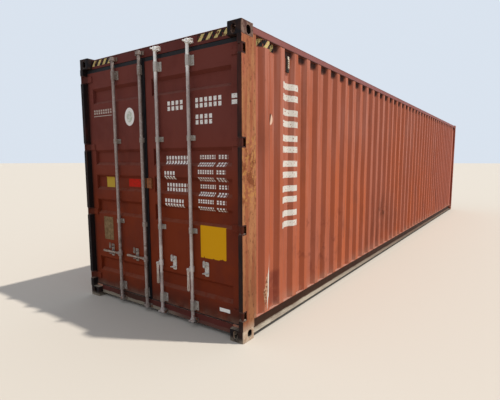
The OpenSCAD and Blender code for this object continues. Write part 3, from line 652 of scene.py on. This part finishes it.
def zinc_steel(name, base=(202, 188, 182), rust=0.5, glint_at_top=1.0):
    """Galvanised steel: dull on the left leaf, a painted glint near the top end on the right leaf,
    rusty at both ends
    """
    finish = Finish(name)
    tone = finish.noise(16, 4, 0.6, stretch=(1, 1, 0.4)).rise(0.35, 0.7)
    colour = finish.blend(tone, shade(*base), shade(*(level * 0.84 for level in base)))
    left_leaf = finish.y.rise(0.0, 0.1)
    top_end = finish.z.rise(2.45, 2.62)
    colour = finish.blend(left_leaf * (0.5 + 0.2 * top_end), colour, ZINC_DULL)
    bloom = finish.noise(45, 5, 0.65, shift=(3, 3, 3)).rise(0.5, 0.7)
    # Painted glint: near white at the top end, except on the left leaf
    bright = top_end * (1 - left_leaf) * glint_at_top
    colour = finish.blend((bloom * 0.3).most(bright), colour, FRESH_WHITE)
    handled = patch(finish.y, finish.z, -1.2, 1.2, 0.50, 0.80, 0.02)
    colour = finish.blend(handled * (1 - left_leaf) * 0.35, colour, FRESH_WHITE)
    greasy = finish.noise(28, 5, 0.65, shift=(2, 4, 6)).rise(0.4, 0.58)
    colour = finish.blend(handled * left_leaf * greasy * 0.6, colour, GREASE)
    ends = finish.z.rise(2.70, 2.84).most(1 - finish.z.rise(0.10, 0.24))
    spots = finish.noise(34, 6, 0.7).rise(0.62 - 0.1 * rust, 0.70 - 0.1 * rust)
    spots = spots * (0.3 + 0.7 * ends)
    colour = finish.blend(spots * 0.8, colour, RUST_ORANGE)
    chips = finish.worn_edges(0.004) * finish.noise(40, 4).rise(0.42, 0.56)
    colour = finish.blend(chips * 0.5, colour, RUST_DARK)
    rough = 0.45 + 0.3 * spots + 0.15 * bloom
    height = finish.noise(150, 3) * 0.15 - spots * 0.4
    return finish.surface(colour, rough, height, metallic=0.2, specular=0.4, edge=0.002)


def rubber(name):
    """Ribbed black rubber with a little dust"""
    finish = Finish(name)
    dusty = finish.noise(18, 5, 0.6, stretch=(1, 1, 0.4)).rise(0.45, 0.75)
    colour = finish.blend(dusty * 0.2, RUBBER_BLACK, RUBBER_DUST)
    ribs = (finish.x * 160).fraction()
    return finish.surface(colour, 0.6 + 0.2 * dusty, ribs * 0.3 + dusty * 0.3)


def plywood(name):
    """Scuffed floor sheets with their grain along X"""
    finish = Finish(name)
    grain = finish.noise(30, 5, 0.6, stretch=(0.12, 1, 1))
    sheets = finish.noise(0.6, 1, 0.5, shift=(2, 5, 1))
    colour = finish.blend(grain.rise(0.35, 0.7), PLY_PALE, PLY_DARK)
    colour = finish.blend(sheets.rise(0.45, 0.6) * 0.3, colour, PLY_WORN)
    scuffs = finish.noise(9, 5, 0.7, stretch=(0.2, 1, 1), shift=(7, 7, 7)).rise(0.55, 0.72)
    colour = finish.blend(scuffs * 0.45, colour, GRIME_AND_SHADE)
    return finish.surface(colour, 0.55 + 0.25 * scuffs, grain * 0.5 - scuffs * 0.3)


def vent_plastic(name):
    """Aged cream plastic, with painted shade on its near side and a near-black foot"""
    finish = Finish(name)
    aged = finish.noise(20, 4, 0.6).rise(0.35, 0.7)
    colour = finish.blend(aged, VENT_CREAM, VENT_AGED)
    dirty = finish.noise(9, 5, 0.65, stretch=(1, 1, 0.4)).rise(0.5, 0.7)
    low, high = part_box("side_vents")
    # Painted shade, near black, on the near side; the foot is near black too
    shade_and_dark_foot = (1 - finish.x.rise(low.x + 0.016, low.x + 0.022)).most(
        1 - finish.z.rise(low.z + 0.030, low.z + 0.048)
    )
    colour = finish.blend(dirty * 0.4, colour, GRIME_AND_SHADE)
    colour = finish.blend(shade_and_dark_foot * 0.92, colour, NEAR_BLACK)
    return finish.surface(colour, 0.5 + 0.2 * aged, aged * 0.2, specular=0.3)


def worn_plate(name, bright, dull):
    """A painted plate with rusty edges"""
    finish = Finish(name)
    aged = finish.noise(26, 5, 0.65).rise(0.35, 0.7)
    colour = finish.blend(aged, shade(*bright), shade(*dull))
    rusty = finish.worn_edges(0.004) * finish.noise(40, 4).rise(0.4, 0.55)
    colour = finish.blend(rusty * 0.8, colour, RUST_DARK)
    return finish.surface(colour, 0.5 + 0.25 * aged, aged * 0.4, specular=0.3)


def weld_metal(name):
    """A painted bead that rusts through, rippled along X"""
    finish = Finish(name)
    heat = finish.noise(24, 4, 0.6).rise(0.4, 0.65)
    colour = finish.blend(heat, SIDE_RED, RUST_DARK)
    ripples = (finish.x * 320).fraction()
    return finish.surface(colour, 0.6 + 0.2 * heat, ripples * 0.5 + heat * 0.3)


# Finishes of the carried-over nodes

SIDE_PAINT = wall_paint("side_wall_paint", True)
DOOR_PAINT = door_paint("door_paint")
BAR_ZINC = zinc_steel("bar_zinc")
FITTING_ZINC = zinc_steel("fitting_zinc", (186, 178, 168), 0.4, glint_at_top=0.2)
VENT_PLASTIC = vent_plastic("vent_plastic")
SEAM_BROWN = worn_plate("seam_plate_paint", (150, 88, 46), (112, 62, 34))

FINISHES = {
    SIDE_PAINT: ["left_side_wall", "right_side_wall"],
    wall_paint("end_wall_paint", False): ["end_wall", "roof_panel", "frame_plates"],
    DOOR_PAINT: [
        "left_door_frame", "left_door_panel", "right_door_frame", "right_door_panel",
        "left_door_hinges", "right_door_hinges",
    ],
    header_paint("header_paint"): ["door_header"],
    post_paint("post_paint"): ["door_posts"],
    frame_paint("front_frame_paint", SIDE_RED, FRAME_RED, 0.6): ["front_posts", "front_rails"],
    top_rail_paint("top_rail_paint"): ["top_side_rails"],
    channel_paint("bottom_rail_paint"): ["bottom_side_rails"],
    sill_paint("sill_paint"): ["door_sill"],
    frame_paint("underframe_paint", UNDERFRAME_RED, RUST_DARK, 1.0): ["cross_members"],
    frame_paint("hinge_paint", HINGE_SHADED_RED, GRIME_AND_SHADE, 0.9): ["hinge_lugs"],
    casting_steel("casting_steel"): ["bottom_corner_castings", "top_corner_castings"],
    BAR_ZINC: [
        "locking_bar_1", "locking_bar_2", "locking_bar_3", "locking_bar_4",
        "cams_1", "cams_2", "cams_3", "cams_4",
    ],
    zinc_steel("handle_zinc", (222, 204, 188)): ["handle_1", "handle_2", "handle_3", "handle_4"],
    zinc_steel("catch_steel", (112, 100, 92), 0.9): [
        "catch_1", "catch_2", "catch_3", "catch_4", "cam_keepers",
    ],
    FITTING_ZINC: ["left_door_fittings", "right_door_fittings"],
    SEAM_BROWN: ["seam_plate"],
    rubber("door_rubber"): ["left_door_seal", "right_door_seal"],
    plywood("floor_plywood"): ["floor_sheets"],
    VENT_PLASTIC: ["side_vents"],
}
for finish_material, names in FINISHES.items():
    for name in names:
        node = frame["nodes"][name]
        node.data.materials.clear()
        node.data.materials.append(finish_material)


# Small pieces

def add_piece(name, mesh, body, material):
    """Makes a piece from a mesh under construction and lets it ride on a body"""
    data = bpy.data.meshes.new(name)
    mesh.to_mesh(data)
    mesh.free()
    data.materials.append(material)
    piece = bpy.data.objects.new(name, data)
    bpy.context.scene.collection.objects.link(piece)
    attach(piece, body)
    return piece


def standing_on(place, direction):
    """The turn and shift that stand a shape on place, its Z along direction"""
    turn = Vector(direction).to_track_quat("Z", "Y").to_matrix().to_4x4()
    return Matrix.Translation(place) @ turn


def add_bolt(mesh, place, direction, radius=0.0075):
    """A washer and a six-sided head"""
    stand = standing_on(place, direction)
    for segments, width, depth, lift in ((14, 1.5, 0.0018, 0.0), (6, 1.0, 0.0050, 0.0018)):
        bmesh.ops.create_cone(
            mesh,
            cap_ends=True,
            segments=segments,
            radius1=radius * width,
            radius2=radius * width * 0.92,
            depth=depth,
            matrix=stand @ Matrix.Translation((0, 0, lift + depth / 2)),
        )


def add_rivet(mesh, place, direction, radius=0.006, flatness=0.45):
    """A low round head"""
    bmesh.ops.create_uvsphere(
        mesh,
        u_segments=10,
        v_segments=6,
        radius=radius,
        matrix=standing_on(place, direction) @ Matrix.Diagonal((1, 1, flatness, 1)),
    )


def add_slab(mesh, low, high, rounding=0.0015):
    """A box between two corners with its edges rounded over"""
    middle = (Vector(low) + Vector(high)) / 2
    size = Vector(high) - Vector(low)
    made = bmesh.ops.create_cube(
        mesh, size=1, matrix=Matrix.Translation(middle) @ Matrix.Diagonal((*size, 1))
    )
    edges = {edge for vert in made["verts"] for edge in vert.link_edges}
    bmesh.ops.bevel(
        mesh,
        geom=list(edges),
        offset=rounding,
        segments=2,
        affect="EDGES",
        profile=0.5,
        material=-1,
    )


def add_weld(mesh, points, radius):
    """A rippled bead of weld along a line of points"""
    first = Vector(points[0])
    stand = standing_on(first, Vector(points[1]) - first)
    ring = bmesh.ops.create_circle(mesh, cap_ends=False, segments=5, radius=radius, matrix=stand)
    edges = list({edge for vert in ring["verts"] for edge in vert.link_edges})
    ends = [edges]
    for here, there in zip(points, points[1:]):
        made = bmesh.ops.extrude_edge_only(mesh, edges=edges)["geom"]
        verts = [item for item in made if isinstance(item, bmesh.types.BMVert)]
        edges = [item for item in made if isinstance(item, bmesh.types.BMEdge)]
        bmesh.ops.translate(mesh, verts=verts, vec=Vector(there) - Vector(here))
    ends.append(edges)
    for loop in ends:
        bmesh.ops.holes_fill(mesh, edges=loop, sides=0)
    bmesh.ops.recalc_face_normals(mesh, faces=mesh.faces)


# Bolts of the bar brackets, rivets of the retainers and hinge blades

BRACKET_SPREADS = (0.026, 0.0, 0.0, 0.026)
RETAINER_WING = 0.016
RETAINER_RIVET = 0.0045
BLADE_RIVET = 0.007
BLADE_RIVET_YS = (1.084, 1.124)
BLADE_RIVET_LIFT = 0.019
for side, bars in (("left", LEFT_BARS), ("right", RIGHT_BARS)):
    outward = 1 if side == "left" else -1
    bolts = bmesh.new()
    for bar_y in bars:
        # The brackets beside the seam have only their outer wing
        wings = (1,) if bar_y == LEFT_BARS[1] else (-1, 1)
        for level, spread in zip(BRACKET_LEVELS, BRACKET_SPREADS):
            for wing in wings:
                for lift in {-spread, spread}:
                    place = (FOOT_FACE, bar_y + wing * BRACKET_WING, level + lift)
                    add_bolt(bolts, place, DOORWARD)
        for level in RETAINER_LEVELS:
            for wing in (-1, 1):
                across = bar_y + outward * RETAINER_REACH + wing * RETAINER_WING
                add_rivet(bolts, (FOOT_FACE, across, level), DOORWARD, RETAINER_RIVET)
    add_piece(f"{side}_fitting_bolts", bolts, f"{side}_door", FITTING_ZINC)
    rivets = bmesh.new()
    for hinge_z in HINGE_ZS:
        for across in BLADE_RIVET_YS:
            for lift in (-BLADE_RIVET_LIFT, BLADE_RIVET_LIFT):
                place = (BLADE_FACE, outward * across, hinge_z + lift)
                add_rivet(rivets, place, DOORWARD, BLADE_RIVET)
    add_piece(f"{side}_hinge_rivets", rivets, f"{side}_door", DOOR_PAINT)

# Peened ends of the pins that the handles turn on

PIN_HEAD, PIN_HEAD_FLATNESS = 0.0085, 0.4
for joint in frame["joints"]:
    if joint["name"].startswith("handle_lift"):
        heads = bmesh.new()
        middle = Vector(joint["pos_m"])
        axis = Vector(joint["axis"]).normalized()
        for outwards in (axis * -1, axis):
            place = middle + outwards * PIN_END
            add_rivet(heads, place, outwards, PIN_HEAD, PIN_HEAD_FLATNESS)
        add_piece(f"pin_heads_{joint['name'][-1]}", heads, joint["parent"], BAR_ZINC)

# The olive plate on the left leaf, blank, on six rivets

PLATE_FACE = LEAF_FACE - 0.003
PLATE_RIVET = 0.005
PLATE_YS, PLATE_RIVET_YS = (0.774, 0.954), (0.786, 0.942)
PLATE_ZS, PLATE_RIVET_ZS = (0.746, 1.025), (0.758, 0.886, 1.013)
plate = bmesh.new()
add_slab(
    plate, (PLATE_FACE, PLATE_YS[0], PLATE_ZS[0]), (LEAF_FACE, PLATE_YS[1], PLATE_ZS[1]), 0.001
)
for level in PLATE_RIVET_ZS:
    for across in PLATE_RIVET_YS:
        add_rivet(plate, (PLATE_FACE, across, level), DOORWARD, PLATE_RIVET)
OLIVE = worn_plate("olive_plate", (136, 108, 68), (104, 78, 46))
add_piece("blank_plate", plate, "left_door", OLIVE)

# The left leaf's share of the brown plate that bridges the seam

PAD_FACE = LEAF_FACE - 0.009
PAD_YS, PAD_ZS = (0.134, 0.178), (1.403, 1.513)
pad = bmesh.new()
add_slab(pad, (PAD_FACE, PAD_YS[0], PAD_ZS[0]), (LEAF_FACE, PAD_YS[1], PAD_ZS[1]))
add_piece("seam_plate_pad", pad, "left_door", SEAM_BROWN)

# Louvred vent covers, in place of the plain ones. Insets are from a cover's outer box.

BACK_INSET, FRONT_INSET, SLATS_INSET = 0.028, 0.012, 0.0095
VENT_RIVET, VENT_RIVET_INSET_X, VENT_RIVET_INSET_Z = 0.0045, 0.010, 0.011
SLAT_LIFTS = [0.032 + place * 0.0195 for place in range(6)]
SLAT_SIZE = (0.038, 0.003, 0.018)
SLAT_TILT = math.radians(35)
covers = bmesh.new()
vent_low, vent_high = (Vector(corner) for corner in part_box("side_vents"))
for side in (-1, 1):
    insets = (BACK_INSET, FRONT_INSET, SLATS_INSET)
    back, front, slats = (side * (vent_high.y - inset) for inset in insets)
    low_y, high_y = sorted((back, front))
    add_slab(
        covers, (vent_low.x, low_y, vent_low.z), (vent_high.x, high_y, vent_high.z), 0.004
    )
    for lift in SLAT_LIFTS:
        middle = Vector(((vent_low.x + vent_high.x) / 2, slats, vent_low.z + lift))
        bmesh.ops.create_cube(
            covers,
            size=1,
            matrix=Matrix.Translation(middle)
            @ Matrix.Rotation(side * SLAT_TILT, 4, "X")
            @ Matrix.Diagonal((*SLAT_SIZE, 1)),
        )
    for level in (vent_low.z + VENT_RIVET_INSET_Z, vent_high.z - VENT_RIVET_INSET_Z):
        for along in (vent_low.x + VENT_RIVET_INSET_X, vent_high.x - VENT_RIVET_INSET_X):
            add_rivet(covers, (along, front, level), (0, side, 0), VENT_RIVET)
bmesh.ops.recalc_face_normals(covers, faces=covers.faces)
vent_covers = add_piece("vent_covers", covers, "container_box", VENT_PLASTIC)
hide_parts("side_vents")

# Screws that hold the floor down on its cross members

SCREW_YS = (-1.02, -0.73, -0.44, -0.15, 0.15, 0.44, 0.73, 1.02)
SCREW_RISE = 0.0012
FLOOR_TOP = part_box("floor_sheets")[1][2]
screws = bmesh.new()
for along in CROSS_MEMBER_XS:
    for across in SCREW_YS:
        bmesh.ops.create_cone(
            screws,
            cap_ends=True,
            segments=8,
            radius1=0.007,
            radius2=0.005,
            depth=SCREW_RISE,
            matrix=Matrix.Translation((along, across, FLOOR_TOP + SCREW_RISE / 2)),
        )
add_piece("floor_screws", screws, "container_box", FITTING_ZINC)

# Side walls that bulge a little and have dents. Each knock has its x and z, reach and depth.

BULGE = 0.004
FLAT_MARGIN = 0.12
LEVEL_CUTS = 26
KNOCKS = (
    (-1.99, 0.80, 0.20, 0.014), (-5.55, 0.40, 0.14, 0.008), (-4.25, 0.62, 0.22, 0.009),
    (0.65, 1.05, 0.30, 0.010), (2.90, 0.70, 0.24, 0.012), (4.40, 1.60, 0.35, 0.008),
    (-3.10, 1.45, 0.40, 0.006),
)


def dent(x, z, way):
    """How far the sheet is pushed in at a place on a side wall"""
    depth = BULGE * max(0.0, noise.noise(Vector((x * 1.3, z * 0.9, way))))
    for knock_x, knock_z, reach, push in KNOCKS:
        away = math.hypot(x - knock_x * way, z - knock_z) / reach
        depth += push * math.exp(-away * away * 2)
    for margin in (z - WALL_FOOT, WALL_TOP - z, CLEAR_HALF_LENGTH - abs(x)):
        depth *= min(1.0, max(0.0, margin / FLAT_MARGIN))
    return depth


for name, way in (("right_side_wall", 1), ("left_side_wall", -1)):
    sheet = bmesh.new()
    sheet.from_mesh(frame["nodes"][name].data)
    bmesh.ops.remove_doubles(sheet, verts=sheet.verts, dist=0.00001)
    for level in range(1, LEVEL_CUTS):
        bmesh.ops.bisect_plane(
            sheet,
            geom=sheet.verts[:] + sheet.edges[:] + sheet.faces[:],
            plane_co=(0, 0, WALL_FOOT + (WALL_TOP - WALL_FOOT) * level / LEVEL_CUTS),
            plane_no=(0, 0, 1),
        )
    for vert in sheet.verts:
        inward = 1 if vert.co.y < 0 else -1
        vert.co.y += inward * dent(vert.co.x, vert.co.z, way)
    for face in sheet.faces:
        face.smooth = True
    for edge in sheet.edges:
        edge.smooth = edge.calc_face_angle(1.0) < 0.25
    wall = add_piece(f"dented_{name}", sheet, "container_box", SIDE_PAINT)
    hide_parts(name)

# Weld beads along the foot and the top of the side walls

BEAD_RADIUS = 0.003
wall_line = [
    (-CLEAR_HALF_LENGTH, 0.0), (FIRST_FLAT_END, 0.0), (FIRST_STEP_END, SIDE_WALL_DEPTH),
]
start = FIRST_FACE_START
while start + FACE + SLOPE < CLEAR_HALF_LENGTH:
    wall_line += [
        (start - SLOPE, SIDE_WALL_DEPTH), (start, 0.0),
        (start + FACE, 0.0), (start + FACE + SLOPE, SIDE_WALL_DEPTH),
    ]
    start += FACE + VALLEY + 2 * SLOPE
wall_line.append((CLEAR_HALF_LENGTH, SIDE_WALL_DEPTH))
welds = bmesh.new()
for side in (-1, 1):
    for level in (WALL_FOOT, WALL_TOP):
        bead = [(along, side * (SIDE_WALL_FACE - inset), level) for along, inset in wall_line]
        add_weld(welds, bead, BEAD_RADIUS)
add_piece("wall_welds", welds, "container_box", weld_metal("weld_metal"))


# Ground, light and camera

def seen_ray(finish):
    """1 for rays from the camera, mirrors and glass"""
    kinds = ("Is Camera Ray", "Is Glossy Ray", "Is Transmission Ray")
    return most_of([finish.node("ShaderNodeLightPath", {}, {}, kind) for kind in kinds])


ground_finish = Finish("ground")
ground_colour = ground_finish.blend(seen_ray(ground_finish), GROUND_LIT, GROUND_SEEN)
ground_mesh = bmesh.new()
bmesh.ops.create_grid(ground_mesh, x_segments=1, y_segments=1, size=300)
ground_data = bpy.data.meshes.new("ground")
ground_mesh.to_mesh(ground_data)
ground_mesh.free()
ground = bpy.data.objects.new("ground", ground_data)
bpy.context.scene.collection.objects.link(ground)
ground.data.materials.append(ground_finish.surface(ground_colour, 0.9, 0.0, specular=0.1))

SKY_LIGHT = (0.57, 0.61, 0.68, 1)
SKY_SEEN = (0.70, 0.77, 0.86, 1)
world = bpy.data.worlds.new("sky")
bpy.context.scene.world = world
sky = Finish("sky", world)
sky_light = sky.node("ShaderNodeBackground", {}, {"Color": SKY_LIGHT})
sky_seen = sky.node("ShaderNodeBackground", {}, {"Color": SKY_SEEN})
sky_mix = sky.node("ShaderNodeMixShader", {}, {0: seen_ray(sky), 1: sky_light, 2: sky_seen})
sky.node("ShaderNodeOutputWorld", {}, {"Surface": sky_mix})

SUN_TOWARDS = Vector((0.22, -0.40, 0.89))
sun_data = bpy.data.lights.new("sun", "SUN")
sun_data.energy = 3.2
sun_data.angle = math.radians(1.5)
sun_data.color = (1.0, 0.96, 0.90)
sun = bpy.data.objects.new("sun", sun_data)
sun.rotation_euler = SUN_TOWARDS.to_track_quat("Z", "Y").to_euler()
bpy.context.scene.collection.objects.link(sun)

CAMERA_PLACE = (-8.793, -3.270, 1.698)
CAMERA_TOWARDS = Vector((0.8199, 0.5603, -0.1173))
camera_data = bpy.data.cameras.new("camera")
camera_data.sensor_width = 36
camera_data.lens = 27.55
camera_data.shift_x = -0.0233
camera_data.shift_y = 0.0122
camera_data.clip_end = 500
camera = bpy.data.objects.new("camera", camera_data)
camera.location = CAMERA_PLACE
camera.rotation_euler = CAMERA_TOWARDS.to_track_quat("-Z", "Y").to_euler()
bpy.context.scene.collection.objects.link(camera)
bpy.context.scene.camera = camera

bpy.context.scene.view_settings.view_transform = "Standard"
